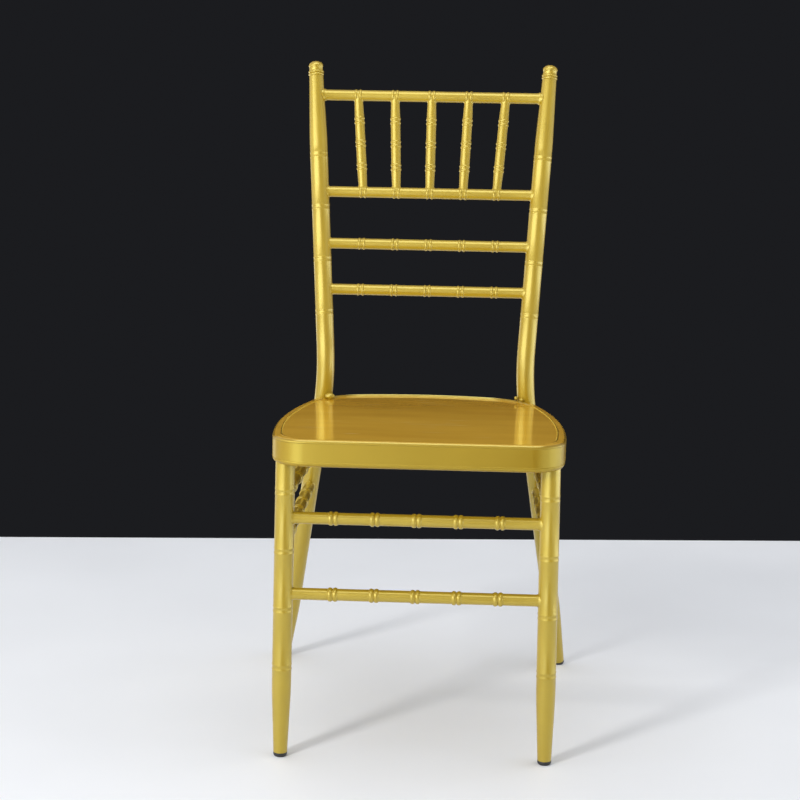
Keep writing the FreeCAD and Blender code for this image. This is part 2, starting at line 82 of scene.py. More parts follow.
def skin_group():
    """Paint that is not quite even: slow clouds of tone, fine flecks and a sprayed skin."""
    group = bpy.data.node_groups.new("sprayed_paint", "ShaderNodeTree")
    for name in ("Cloud Scale", "Fleck Scale", "Peel Scale"):
        group.interface.new_socket(name, in_out="INPUT", socket_type="NodeSocketFloat")
    for name in ("Cloud", "Fleck", "Height"):
        group.interface.new_socket(name, in_out="OUTPUT", socket_type="NodeSocketFloat")
    nodes = group.nodes
    inlet = nodes.new("NodeGroupInput")
    outlet = nodes.new("NodeGroupOutput")
    place = nodes.new("ShaderNodeTexCoord")
    for scale, detail, result in (("Cloud Scale", 4, "Cloud"), ("Fleck Scale", 1, "Fleck"),
                                  ("Peel Scale", 2, "Height")):
        noise = nodes.new("ShaderNodeTexNoise")
        noise.inputs["Detail"].default_value = detail
        group.links.new(place.outputs["Object"], noise.inputs["Vector"])
        group.links.new(inlet.outputs[scale], noise.inputs["Scale"])
        group.links.new(noise.outputs["Fac"], outlet.inputs[result])
    return group


sprayed_paint = skin_group()


def ramp(material, value, low, high):
    """A value stretched from the middle half of a noise to a range."""
    node = material.node_tree.nodes.new("ShaderNodeMapRange")
    node.inputs["From Min"].default_value = noise_low
    node.inputs["From Max"].default_value = noise_high
    node.inputs["To Min"].default_value = low
    node.inputs["To Max"].default_value = high
    material.node_tree.links.new(value, node.inputs["Value"])
    return node.outputs["Result"]


def tint(material, factor, first, second):
    """A colour that goes from the first to the second with a factor."""
    node = material.node_tree.nodes.new("ShaderNodeMix")
    node.data_type = "RGBA"
    for socket, colour in (("A", first), ("B", second)):
        plug = next(item for item in node.inputs if item.name == socket and item.type == "RGBA")
        if isinstance(colour, bpy.types.NodeSocket):
            material.node_tree.links.new(colour, plug)
        else:
            plug.default_value = (*colour, 1)
    material.node_tree.links.new(factor, node.inputs["Factor"])
    return next(item for item in node.outputs if item.type == "RGBA")


fleck_scale = 1600
fleck_share = 0.12
peel_scale = 700
peel_depth = 0.0002
coat_roughness = 0.18


def paint(name, shade, light, fleck, roughness, peel, clouds=14, coat=0.0, index=1.5, gloss=(1, 1, 1)):
    """A sprayed finish on the shared skin: two close tones, flecks, uneven gloss and a fine bump."""
    material = bpy.data.materials.new(name)
    material.use_nodes = True
    nodes = material.node_tree.nodes
    links = material.node_tree.links
    shader = nodes["Principled BSDF"]
    skin = nodes.new("ShaderNodeGroup")
    skin.node_tree = sprayed_paint
    skin.inputs["Cloud Scale"].default_value = clouds
    skin.inputs["Fleck Scale"].default_value = fleck_scale
    skin.inputs["Peel Scale"].default_value = peel_scale
    tone = tint(material, ramp(material, skin.outputs["Cloud"], 0, 1), shade, light)
    colour = tint(material, ramp(material, skin.outputs["Fleck"], 0, fleck_share), tone, fleck)
    links.new(colour, shader.inputs["Base Color"])
    links.new(ramp(material, skin.outputs["Cloud"], *roughness), shader.inputs["Roughness"])
    bump = nodes.new("ShaderNodeBump")
    bump.inputs["Strength"].default_value = peel
    bump.inputs["Distance"].default_value = peel_depth
    links.new(skin.outputs["Height"], bump.inputs["Height"])
    links.new(bump.outputs["Normal"], shader.inputs["Normal"])
    shader.inputs["IOR"].default_value = index
    shader.inputs["Specular Tint"].default_value = (*gloss, 1)
    shader.inputs["Coat Weight"].default_value = coat
    shader.inputs["Coat Roughness"].default_value = coat_roughness
    return material


flake_index = 2.4
flake_gloss = (1.0, 0.95, 0.28)
gold_tube = paint("gold_tube_paint", shade=(0.343, 0.211, 0.009), light=(0.382, 0.240, 0.011),
                  fleck=(0.55, 0.40, 0.03), roughness=(0.28, 0.34), peel=0.03, coat=0.4,
                  index=flake_index, gloss=flake_gloss)


def rolled_ring(at, radius, rise, round_radius):
    """The bulge of one rolled ring, as steps of (distance, radius) along a tube."""
    reach = math.acos((round_radius - rise) / round_radius)
    middle = radius + rise - round_radius
    swings = [reach * share for share in (-1, -0.67, -0.33, 0, 0.33, 0.67, 1)]
    return [(at + round_radius * math.sin(swing), middle + round_radius * math.cos(swing))
            for swing in swings]


def ring_pairs(first, step, count, radius, rise, round_radius, gap):
    """The outline of evenly spaced pairs of rings along a tube."""
    outline = []
    for number in range(count):
        for side in (-0.5, 0.5):
            outline += rolled_ring(first + step * number + side * gap, radius, rise, round_radius)
    return outline


def drawn_foot(radius):
    """A tube drawn down to its foot, with a soft turn where the taper starts."""
    end = glide_rise + foot_taper
    fall = taper_soft * (radius - foot_radius) / foot_taper
    return [
        (glide_rise, foot_radius - foot_edge),
        (glide_rise + foot_edge, foot_radius),
        (end - taper_soft, radius - fall),
        (end - taper_soft / 3, radius - fall * taper_ease[0]),
        (end + taper_soft / 3, radius - fall * taper_ease[1]),
        (end + taper_soft, radius),
    ]


def ring_edges(verts):
    """The edges between the given points."""
    ring = set(verts)
    return [edge for edge in {edge for vert in verts for edge in vert.link_edges}
            if edge.verts[0] in ring and edge.verts[1] in ring]


def draw_on(bm, rings, start, way, outline):
    """Draw a tube on from its last ring, one new ring for each further step of the outline."""
    for (before, old_radius), (distance, radius) in zip(outline, outline[1:]):
        made = bmesh.ops.extrude_edge_only(bm, edges=ring_edges(rings[-1]))["geom"]
        verts = [item for item in made if isinstance(item, bmesh.types.BMVert)]
        bmesh.ops.translate(bm, verts=verts, vec=way * (distance - before))
        growth = radius / old_radius
        centre = Matrix.Translation(-(start + way * distance))
        bmesh.ops.scale(bm, verts=verts, vec=(growth, growth, growth), space=centre)
        rings.append(verts)
    return rings


def draw_tube(bm, start, way, outline, sides=tube_sides):
    """A round tube along a line from steps of (distance, radius). Gives its rings."""
    distance, radius = outline[0]
    place = Matrix.Translation(start + way * distance) @ way.to_track_quat("Z", "Y").to_matrix().to_4x4()
    circle = bmesh.ops.create_circle(bm, cap_ends=False, segments=sides, radius=radius, matrix=place)
    return draw_on(bm, [circle["verts"]], start, way, outline)


def make_piece(name, bm, material, slot, *replaced, crease=tube_crease):
    """Close a mesh, turn its faces outward and hang it on the chair."""
    bmesh.ops.holes_fill(bm, edges=bm.edges[:], sides=0)
    bmesh.ops.remove_doubles(bm, verts=bm.verts[:], dist=1e-6)
    bmesh.ops.recalc_face_normals(bm, faces=bm.faces[:])
    return hang(name, bm, material, slot, *replaced, crease=crease)


def hang(name, bm, material, slot, *replaced, crease=tube_crease):
    """Shade a mesh smooth up to its creases and add it to the chair in place of its solid."""
    for face in bm.faces:
        face.smooth = True
    for edge in bm.edges:
        if len(edge.link_faces) == 2 and edge.calc_face_angle() > crease:
            edge.smooth = False
    mesh = bpy.data.meshes.new(name)
    bm.to_mesh(mesh)
    bm.free()
    mesh.materials.append(material)
    piece = bpy.data.objects.new(name, mesh)
    bpy.context.scene.collection.objects.link(piece)
    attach(piece, "root")
    if replaced:
        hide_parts(*replaced)
    return piece


def on_side(point, side):
    """A point of the right half, put on a side."""
    return Vector((side * point.x, point.y, point.z))


sides_of_chair = (("left", -1), ("right", 1))
rear_legs = {}
back_posts = {}
for side_name, side in sides_of_chair:
    foot = on_side(post_foot, side)
    bend = on_side(post_bend, side)
    top = on_side(post_top, side)
    leg_way = (bend - foot).normalized()
    post_way = (top - bend).normalized()
    turn = leg_way.angle(post_way)
    tangent = post_bend_radius * math.tan(turn / 2)
    post_run = (top - bend).length
    post_end = post_run - finial_height
    rear_legs[side] = (foot, leg_way, post_radius)
    back_posts[side] = (bend, post_way, post_radius)

    bm = bmesh.new()
    leg_outline = drawn_foot(post_radius) + [((bend - foot).length - tangent, post_radius)]
    rings = draw_tube(bm, foot, leg_way, leg_outline)
    hub = bend + (post_way - leg_way).normalized() * (post_bend_radius / math.cos(turn / 2))
    spun = bmesh.ops.spin(bm, geom=rings[-1] + ring_edges(rings[-1]), cent=hub,
                          axis=leg_way.cross(post_way).normalized(), angle=turn, steps=post_bend_steps)
    last_ring = [item for item in spun["geom_last"] if isinstance(item, bmesh.types.BMVert)]
    ring_step = (post_end - post_ring_drop - post_ring_start) / (post_ring_count - 1)
    post_outline = [(tangent, post_radius)]
    post_outline += ring_pairs(post_ring_start, ring_step, post_ring_count, post_radius,
                               leg_ring_rise, ring_round, ring_gap)
    taper_start = post_end - post_top_taper
    post_outline += [(taper_start - taper_soft, post_radius),
                     (taper_start, post_radius - post_taper_fall),
                     (taper_start + taper_soft, post_radius - post_taper_turn),
                     (post_end, post_top_radius)]
    draw_on(bm, [last_ring], bend, post_way, post_outline)
    for place, lump in seat_welds[side_name]:
        spot = Matrix.Translation(on_side(Vector(place), side)) @ Matrix.Diagonal((*lump, 1))
        made = bmesh.ops.create_icosphere(bm, subdivisions=3, radius=1.0, matrix=spot)["verts"]
        for vert in made:
            wave = weld_wave * math.sin(vert.co.x * weld_wave_across) * math.cos(vert.co.z * weld_wave_up)
            vert.co += (vert.co - spot.translation) * wave
    make_piece("post_" + side_name, bm, gold_tube, "gold_tube", "rear_post_" + side_name)

# Front legs. Straight tubes of the same size that stand almost upright under the front of the seat,
# with four pairs of rings and a drawn foot. Their tops are welded to the underside of the seat.
leg_radius = 0.0128
leg_foot = Vector((0.1753, front_leg_line, 0.0))
leg_top = Vector((0.1706, front_leg_line, 0.434))
leg_ring_start = 0.124
leg_ring_drop = 0.0737
leg_ring_count = 4
sheet_below = 0.0015

front_legs = {}
for side_name, side in sides_of_chair:
    foot = on_side(leg_foot, side)
    top = on_side(leg_top, side)
    way = (top - foot).normalized()
    front_legs[side] = (foot, way, leg_radius)
    ring_step = (leg_top.z - leg_ring_drop - leg_ring_start) / (leg_ring_count - 1)
    outline = drawn_foot(leg_radius)
    outline += ring_pairs(leg_ring_start, ring_step, leg_ring_count, leg_radius,
                          leg_ring_rise, ring_round, ring_gap)
    outline.append(((top - foot).length - sheet_below, leg_radius))
    bm = bmesh.new()
    draw_tube(bm, foot, way, outline)
    make_piece("leg_" + side_name, bm, gold_tube, "gold_tube", "front_leg_" + side_name)

# Foot glides. Black moulded plastic plugs pushed into the feet, with a rounded edge and a flat sole
# that is level with the floor, so the ones in the splayed rear legs are wedges.
glide_black = paint("glide_plastic", shade=(0.012, 0.012, 0.013), light=(0.020, 0.020, 0.021),
                    fleck=(0.04, 0.04, 0.04), roughness=(0.42, 0.55), peel=0.3)
glide_sides = 40
round_crease = 0.9
glide_outline = [(-0.006, 0.0068), (0.0, 0.0070), (0.0004, 0.0076), (0.0009, 0.0082), (0.0016, 0.0087),
                 (0.0024, 0.0091), (0.0032, 0.0092), (0.0050, 0.0092), (glide_rise, 0.0089),
                 (glide_rise + 0.004, 0.0078)]
for end_name, legs in (("front", front_legs), ("rear", rear_legs)):
    for side_name, side in sides_of_chair:
        foot, way, _ = legs[side]
        bm = bmesh.new()
        draw_tube(bm, foot, way, glide_outline, sides=glide_sides)
        bmesh.ops.bisect_plane(bm, geom=bm.verts[:] + bm.edges[:] + bm.faces[:], plane_co=(0, 0, 0),
                               plane_no=(0, 0, 1), clear_inner=True)
        make_piece(f"glide_{end_name}_{side_name}", bm, glide_black, "black_glide",
                   f"foot_glide_{end_name}_{side_name}", crease=round_crease)

# Finials. Turned metal knobs pressed into the tops of the posts: two close rings, a short neck and a
# low dome that stands out over it, painted with the frame.
finial_neck = 0.0099
finial_ring_radius = 0.0114
finial_ring_round = 0.0019
dome_radius = 0.0107
dome_height = 0.0074
dome_lifts = (0, 8, 16, 25, 34, 43, 52, 61, 70, 78, 84, 88)
finial_plug = 0.004
finial_plug_step = 0.0015
finial_sides = 48
dome_edge = ((-0.0015, 0.0099), (-0.0011, 0.0103), (-0.0006, 0.0106))
for side_name, side in sides_of_chair:
    top = on_side(post_top, side)
    way = back_posts[side][1]
    base = top - way * finial_height
    rise = finial_ring_radius - finial_neck
    outline = [(-finial_plug, post_top_radius - finial_plug_step), (0.0, finial_neck)]
    for number in (1, 3):
        outline += rolled_ring(finial_ring_round * number, finial_neck, rise, finial_ring_round)
    dome_at = finial_height - dome_height
    outline += [(dome_at + step, radius) for step, radius in dome_edge]
    for lift in dome_lifts:
        swing = math.radians(lift)
        outline.append((dome_at + dome_height * math.sin(swing), dome_radius * math.cos(swing)))
    bm = bmesh.new()
    draw_tube(bm, base, way, outline, sides=finial_sides)
    make_piece("knob_" + side_name, bm, gold_tube, "gold_tube", "finial_" + side_name, crease=round_crease)

# Rails and stretchers. Tubes 16 mm across with five pairs of rings, cut to the shape of the tubes
# that they meet and welded all round: four rails in the back, seven stretchers under the seat.
bar_radius = 0.0078
rail_ring = dict(rise=0.0010, round_radius=0.0024, gap=ring_gap)
stretcher_ring = dict(rise=0.0015, round_radius=0.0042, gap=ring_gap)
bar_ring_count = 5
bar_ring_step = 0.054
spindle_top_step = 0.054
spindle_bottom_step = 0.0487
bar_sides = 44
weld_toe = [(-0.0020, 0.0013), (0.0001, 0.0012), (0.0006, 0.0006), (0.0014, 0.0002), (0.0030, 0.0)]


def skin_distance(point, way, tube):
    """How far a point inside a tube has to go along a line to reach the tube's skin."""
    base, along, radius = tube
    flat_way = way - along * way.dot(along)
    offset = point - base
    flat_offset = offset - along * offset.dot(along)
    slope = flat_way.dot(flat_offset)
    room = radius ** 2 - flat_offset.length_squared
    return (math.sqrt(slope ** 2 + flat_way.length_squared * room) - slope) / flat_way.length_squared


def cope(rings, distances, way, tube):
    """Slide the end rings of a bar so that they follow the skin of the tube that it is welded to."""
    for ring, distance, (gap, _) in zip(rings, distances, weld_toe):
        for vert in ring:
            root = vert.co - way * distance
            vert.co = root + way * (skin_distance(root, way, tube) + gap)


def welded_bar(name, node, start, end, tubes, radius, middle, sides):
    """A bar between two tubes, with a small weld at each end. The middle is its outline between them."""
    way = (end - start).normalized()
    length = (end - start).length
    near = [(tubes[0][2] + gap, radius + toe) for gap, toe in weld_toe]
    far = [(length - tubes[1][2] - gap, radius + toe) for gap, toe in reversed(weld_toe)]
    bm = bmesh.new()
    rings = draw_tube(bm, start, way, near + middle(length) + far, sides=sides)
    cope(rings, [distance for distance, _ in near], way, tubes[0])
    cope(rings[::-1], [length - distance for distance, _ in reversed(far)], -way, tubes[1])
    make_piece(name, bm, gold_tube, "gold_tube", node)


def ringed_bar(name, node, start, end, tubes, step, ring):
    """A bar with its pairs of rings set out from its middle."""
    def middle(length):
        first = (length - step * (bar_ring_count - 1)) / 2
        return ring_pairs(first, step, bar_ring_count, bar_radius, **ring)

    welded_bar(name, node, start, end, tubes, bar_radius, middle, bar_sides)


def at_height(tube, height):
    """The point of a tube's middle line at a height."""
    base, way, _ = tube
    return base + way * ((height - base.z) / way.z)


def crossbar(name, node, tubes, height, step, ring):
    """A level bar from the left tube of a pair to the right one."""
    pair = (tubes[-1], tubes[1])
    ringed_bar(name, node, at_height(pair[0], height), at_height(pair[1], height), pair, step, ring)


top_rail_height = 0.8715
spindle_rail_height = 0.7320
middle_rail_height = 0.6575
lower_rail_height = 0.5915
front_upper_height = 0.325
front_lower_height = 0.223
rear_height = 0.340
side_heights = (("upper", 0.354), ("lower", 0.293))
crossbar("rail_top", "top_rail", back_posts, top_rail_height, spindle_top_step, rail_ring)
crossbar("rail_spindle", "spindle_rail", back_posts, spindle_rail_height, spindle_bottom_step, rail_ring)
crossbar("rail_middle", "middle_back_rail", back_posts, middle_rail_height, spindle_bottom_step, rail_ring)
crossbar("rail_lower", "lower_back_rail", back_posts, lower_rail_height, spindle_bottom_step, rail_ring)
crossbar("stretcher_front_upper", "front_stretcher_upper", front_legs, front_upper_height,
         bar_ring_step, stretcher_ring)
crossbar("stretcher_front_lower", "front_stretcher_lower", front_legs, front_lower_height,
         bar_ring_step, stretcher_ring)
crossbar("stretcher_rear", "rear_stretcher", rear_legs, rear_height, bar_ring_step, stretcher_ring)
for side_name, side in sides_of_chair:
    tubes = (front_legs[side], rear_legs[side])
    for level, height in side_heights:
        ends = [at_height(tube, height) for tube in tubes]
        ringed_bar(f"stretcher_{level}_{side_name}", f"side_stretcher_{level}_{side_name}",
                   ends[0], ends[1], tubes, bar_ring_step, stretcher_ring)

# Spindles. Five slim tubes between the two upper rails, fanned a little, each with three pairs of
# rings and drawn thinner towards both ends, where they are welded to the rails.
spindle_end_radius = 0.0063
spindle_middle_radius = 0.0070
spindle_ring_step = 0.034
spindle_ring_rise = 0.0008
spindle_ring_round = 0.0030
spindle_ring_gap = 0.0062
spindle_ring_count = 3
spindle_count = 5
spindle_sides = 36


def spindle_middle(length):
    """The outline of a spindle between its ends."""
    first = (length - spindle_ring_step * (spindle_ring_count - 1)) / 2
    return ring_pairs(first, spindle_ring_step, spindle_ring_count, spindle_middle_radius,
                      spindle_ring_rise, spindle_ring_round, spindle_ring_gap)


across = Vector((1, 0, 0))
low_middle = at_height(back_posts[1], spindle_rail_height)
high_middle = at_height(back_posts[1], top_rail_height)
for number in range(spindle_count):
    place = number - (spindle_count - 1) / 2
    low = Vector((spindle_bottom_step * place, low_middle.y, low_middle.z))
    high = Vector((spindle_top_step * place, high_middle.y, high_middle.z))
    rails = ((low, across, bar_radius), (high, across, bar_radius))
    welded_bar(f"back_spindle_{number + 1}", f"spindle_{number + 1}", low, high, rails,
               spindle_end_radius, spindle_middle, spindle_sides)

# Seat. One pressed steel sheet: a flat top with a narrow raised bead that grows to a rim between the
# posts, a rounded shoulder, a skirt and a lip rolled in below. It is painted with the frame. Its top is
# polished and scratched, and its brown is a painted reflection of the dark room, darker towards the rear.
seat_height = 0.434
skirt_height = 0.036
sheet = 0.001
shoulder = 0.005
lip = 0.007
seat_front = front_leg_line - 0.032
seat_back = front_leg_line + 0.346
seat_widest = front_leg_line + 0.085
seat_half_width = 0.1935
top_margin = 0.0006
lip_turn = 0.92
round_steps = 7
front_steps = 6
arc_steps = (14, 26, 10, 16)
bead_section = [(0.0004, 0.00010), (0.0009, 0.0005), (0.0013, 0.0009), (0.0019, 0.0012),
                (0.0025, 0.0009), (0.0029, 0.0005), (0.0034, 0.00010), (0.0038, 0.0),
                (0.0052, 0.0)]
rear_rim_growth = 1.15
rear_rim_from = seat_back - 0.066
rear_rim_run = 0.012
bead_from = seat_front + 0.008
bead_run = 0.022
gold_seat = paint("gold_seat_paint", shade=(0.262, 0.142, 0.003), light=(0.291, 0.160, 0.004),
                  fleck=(0.43, 0.27, 0.012), roughness=(0.29, 0.34), peel=0.03, clouds=9,
                  index=flake_index, gloss=(1.0, 0.94, 0.23))
# Painted reflection: brown tones on the top of the seat stand in for the dark room it mirrors, darker at
# the rear and lighter towards the front.
reflection_from = seat_back - 0.015
reflection_full = seat_widest + 0.04
rear_reflection_tones = ((0.44, 0.224, 0.015), (0.53, 0.277, 0.019))
front_reflection_tones = ((0.59, 0.331, 0.032), (0.67, 0.386, 0.041))
wipe_stretch = (7, 34, 34)
scratch_stretch = (16, 330, 330)
scratch_turn = 4
scratch_tone = (0.78, 0.62, 0.30)
scratched_patch = (13, 26, 26)
patch_turn = 20
polish_gain = -0.22
edge_shine = 0.7
top_dulling = -0.55


def top_reflection_and_scratches(material):
    """Paint on the top of the seat a brown reflection of the dark room, darker towards the rear, with wipe
    marks and a few short pale scratches, and polish it.
    """
    nodes = material.node_tree.nodes
    links = material.node_tree.links
    place = nodes.new("ShaderNodeTexCoord")

    def streak(stretch, turn, detail):
        """Noise that is drawn out along one direction."""
        lay = nodes.new("ShaderNodeMapping")
        lay.inputs["Scale"].default_value = stretch
        lay.inputs["Rotation"].default_value = (0, 0, math.radians(turn))
        noise = nodes.new("ShaderNodeTexNoise")
        noise.inputs["Scale"].default_value = 1.0
        noise.inputs["Detail"].default_value = detail
        links.new(place.outputs["Object"], lay.inputs["Vector"])
        links.new(lay.outputs["Vector"], noise.inputs["Vector"])
        return noise.outputs["Fac"]

    def cut(value, start, end, low, high):
        """A value taken from one range to another."""
        node = nodes.new("ShaderNodeMapRange")
        for name, number in (("From Min", start), ("From Max", end), ("To Min", low), ("To Max", high)):
            node.inputs[name].default_value = number
        links.new(value, node.inputs["Value"])
        return node.outputs["Result"]

    def join(first, second, operation):
        """Two values worked together."""
        node = nodes.new("ShaderNodeMath")
        node.operation = operation
        links.new(first, node.inputs[0])
        links.new(second, node.inputs[1])
        return node.outputs["Value"]

    shader = nodes["Principled BSDF"]
    skirt = shader.inputs["Base Color"].links[0].from_socket
    even = shader.inputs["Roughness"].links[0].from_socket
    parts = nodes.new("ShaderNodeSeparateXYZ")
    links.new(place.outputs["Object"], parts.inputs["Vector"])
    height = parts.outputs["Z"]
    above = cut(height, seat_height - 0.0012, seat_height - 0.0001, 0, 1)
    below_bead = cut(height, seat_height + 0.0003, seat_height + 0.0008, 1, 0)
    on_top = join(above, below_bead, "MULTIPLY")
    # Painted reflection of the dark room: darker at the rear of the top, lighter towards the front.
    towards_front = cut(parts.outputs["Y"], reflection_from, reflection_full, 0, 1)
    wipes = streak(wipe_stretch, 0, 3)
    wiped = cut(wipes, noise_low, noise_high, 0, 1)
    reflected_brown = tint(material, towards_front, tint(material, wiped, *rear_reflection_tones), tint(material, wiped, *front_reflection_tones))
    scratches = join(cut(streak(scratch_stretch, scratch_turn, 2), 0.64, 0.71, 0, 0.55),
                     cut(streak(scratched_patch, patch_turn, 1), 0.55, 0.63, 0, 1), "MULTIPLY")
    scratched = tint(material, scratches, reflected_brown, scratch_tone)
    # The top takes the painted brown reflection, with its scratches, in place of the skirt's gold.
    links.new(tint(material, on_top, skirt, scratched), shader.inputs["Base Color"])
    polish = cut(height, seat_height - 0.0022, seat_height - 0.0002, 0, polish_gain)
    uneven = cut(wipes, noise_low, noise_high, -0.01, 0.02)
    links.new(join(join(even, polish, "ADD"), uneven, "ADD"), shader.inputs["Roughness"])
    shine = cut(height, seat_height - 0.0045, seat_height - 0.0010, 0, edge_shine)
    dulled = cut(on_top, 0, 1, 0, top_dulling)
    links.new(join(shine, dulled, "ADD"), shader.inputs["Coat Weight"])


top_reflection_and_scratches(gold_seat)


def seat_outline(bm, height, front, half_width, side_radius, back, rear_radius, front_corner, rear_corner):
    """The seat's outline as a face: straight front, bowed sides and rear, and rounded corners."""
    before = set(bm.edges)
    side_hub = Vector((half_width - side_radius, seat_widest, height))
    rear_hub = Vector((0, back - rear_radius, height))
    corner_y = front + front_corner
    corner_x = side_hub.x + math.sqrt((side_radius - front_corner) ** 2 - (corner_y - seat_widest) ** 2)
    front_hub = Vector((corner_x, corner_y, height))
    side_reach = side_radius - rear_corner
    rear_reach = rear_radius - rear_corner
    apart = rear_hub - side_hub
    share = (apart.length_squared + side_reach ** 2 - rear_reach ** 2) / (2 * apart.length)
    lift = math.sqrt(side_reach ** 2 - share ** 2)
    along = apart.normalized()
    corner_hub = side_hub + along * share + Vector((-along.y, along.x, 0)) * lift
    if corner_hub.y < rear_hub.y:
        corner_hub = side_hub + along * share - Vector((-along.y, along.x, 0)) * lift

    def heading(hub, point):
        return math.atan2(point.y - hub.y, point.x - hub.x)

    headings = [-math.pi / 2, heading(side_hub, front_hub), heading(side_hub, corner_hub),
                heading(rear_hub, corner_hub), math.pi / 2]
    pen = bm.verts.new((0, front, height))
    for number in range(1, front_steps + 1):
        step = bmesh.ops.extrude_vert_indiv(bm, verts=[pen])["verts"][0]
        step.co = Vector((front_hub.x * number / front_steps, front, height))
        pen = step
    for hub, start, end, steps in zip((front_hub, side_hub, corner_hub, rear_hub), headings, headings[1:],
                                      arc_steps):
        swept = bmesh.ops.spin(bm, geom=[pen], cent=hub, axis=(0, 0, 1), angle=end - start, steps=steps)
        pen = next(item for item in swept["geom_last"] if isinstance(item, bmesh.types.BMVert))
    half = [edge for edge in bm.edges if edge not in before]
    half_verts = list({vert for edge in half for vert in edge.verts})
    bmesh.ops.mirror(bm, geom=half + half_verts, matrix=Matrix.Identity(4), merge_dist=1e-5, axis="X")
    loop = [edge for edge in bm.edges if edge not in before]
    made = bmesh.ops.contextual_create(bm, geom=loop)["faces"][0]
    made.normal_update()
    return made


def step_in(bm, face, steps):
    """Press a face in steps of (inset, rise), counted from where it started."""
    inset_before = 0
    rise_before = 0
    for inset, rise in steps:
        bmesh.ops.inset_region(bm, faces=[face], thickness=inset - inset_before, depth=rise - rise_before,
                               use_boundary=True, use_even_offset=True)
        inset_before = inset
        rise_before = rise


def quarter(radius, share):
    """Steps of a quarter round, up to a share of its full turn."""
    swings = [math.pi / 2 * share * number / round_steps for number in range(1, round_steps + 1)]
    return [(radius * (1 - math.cos(swing)), radius * math.sin(swing)) for swing in swings]


bm = bmesh.new()
pan = dict(front=seat_front, half_width=seat_half_width, side_radius=0.670, back=seat_back,
           rear_radius=0.400, front_corner=0.045, rear_corner=0.015)
top_face = seat_outline(bm, seat_height - shoulder, **pan)
if top_face.normal.z < 0:
    top_face.normal_flip()
upper_rim = list(top_face.edges)
step_in(bm, top_face, quarter(shoulder, 1.0))
step_in(bm, top_face, [(top_margin, 0)])
top_rim = list(top_face.edges)
bmesh.ops.delete(bm, geom=[top_face], context="FACES_ONLY")
under_face = seat_outline(bm, seat_height - skirt_height + lip, **pan)
if under_face.normal.z > 0:
    under_face.normal_flip()
lower_rim = list(under_face.edges)
step_in(bm, under_face, quarter(lip, lip_turn))
bmesh.ops.delete(bm, geom=[under_face], context="FACES_ONLY")
bmesh.ops.bridge_loops(bm, edges=upper_rim + lower_rim)
bead = dict(front=seat_front + 0.0058, half_width=seat_half_width - 0.0095, side_radius=0.660,
            back=seat_back - 0.012, rear_radius=0.420, front_corner=0.036, rear_corner=0.090)
bead_face = seat_outline(bm, seat_height, **bead)
if bead_face.normal.z < 0:
    bead_face.normal_flip()
bead_rim = list(bead_face.edges)
step_in(bm, bead_face, bead_section)
for vert in bm.verts:
    proud = vert.co.z - seat_height
    if proud > 0:
        shown = max(0, min((vert.co.y - bead_from) / bead_run, 1))
        grown = max(0, min((vert.co.y - rear_rim_from) / rear_rim_run, 1)) * rear_rim_growth
        bmesh.ops.translate(bm, verts=[vert], vec=(0, 0, proud * (shown - 1 + grown)))
bmesh.ops.bridge_loops(bm, edges=top_rim + bead_rim)
bmesh.ops.remove_doubles(bm, verts=bm.verts[:], dist=1e-6)
bmesh.ops.recalc_face_normals(bm, faces=bm.faces[:])
if bead_face.normal.z < 0:
    bmesh.ops.reverse_faces(bm, faces=bm.faces[:])
seat = hang("seat", bm, gold_seat, "gold_seat", "seat_pan", crease=round_crease)
wall = seat.modifiers.new("sheet", "SOLIDIFY")
wall.thickness = sheet
wall.offset = -1

# Stiffeners. Two pressed channels spot-welded up against the underside of the seat, sprayed with it.
# Their solids already have the right shape, so they only get the seat's paint.
for node in ("seat_stiffener_front", "seat_stiffener_rear"):
    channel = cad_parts[node].data
    channel.materials.clear()
    channel.materials.append(gold_seat)

# Floor, light and camera. A plain pale floor that ends in front of the chair and behind it, a lamp at
# the front left that throws the shadows, soft panels, cards that show in the gloss alone, a room that
# is dark behind the chair, and a camera a little above the chair's middle.
floor_edge = Vector((-0.0634, 0.9856, 0))
floor_turn = math.radians(5.36)
floor_half_width = 3.2
floor_half_depth = 1.0
bm = bmesh.new()
bmesh.ops.create_grid(bm, x_segments=12, y_segments=4, size=1,
                      matrix=Matrix.Translation(floor_edge) @ Matrix.Rotation(floor_turn, 4, "Z")
                      @ Matrix.Translation((0, -floor_half_depth, 0))
                      @ Matrix.Diagonal((floor_half_width, floor_half_depth, 1, 1)))
floor_mesh = bpy.data.meshes.new("floor")
bm.to_mesh(floor_mesh)
bm.free()
floor_mesh.materials.append(paint("floor_paint", shade=(0.872, 0.896, 0.938), light=(0.887, 0.911, 0.953),
                                  fleck=(0.91, 0.92, 0.95), roughness=(0.45, 0.55), peel=0.05, clouds=3))
floor = bpy.data.objects.new("floor", floor_mesh)
bpy.context.scene.collection.objects.link(floor)

chair_middle = Vector((0, 0, 0.45))
white = (1.0, 0.99, 0.98)
warm_white = (1.0, 0.98, 0.95)


def soft_lamp(name, place, width, height, watts, tone, aim=chair_middle, lights=True, mirrored=True):
    """A flat lamp that lights the scene, shows in its gloss, or both."""
    lamp = bpy.data.lights.new(name, "AREA")
    lamp.shape = "RECTANGLE"
    lamp.size = width
    lamp.size_y = height
    lamp.energy = watts
    lamp.color = tone
    stand = bpy.data.objects.new(name, lamp)
    stand.location = place
    stand.rotation_euler = (aim - Vector(place)).to_track_quat("-Z", "Y").to_euler()
    stand.visible_camera = False
    stand.visible_diffuse = lights
    stand.visible_glossy = mirrored
    bpy.context.scene.collection.objects.link(stand)


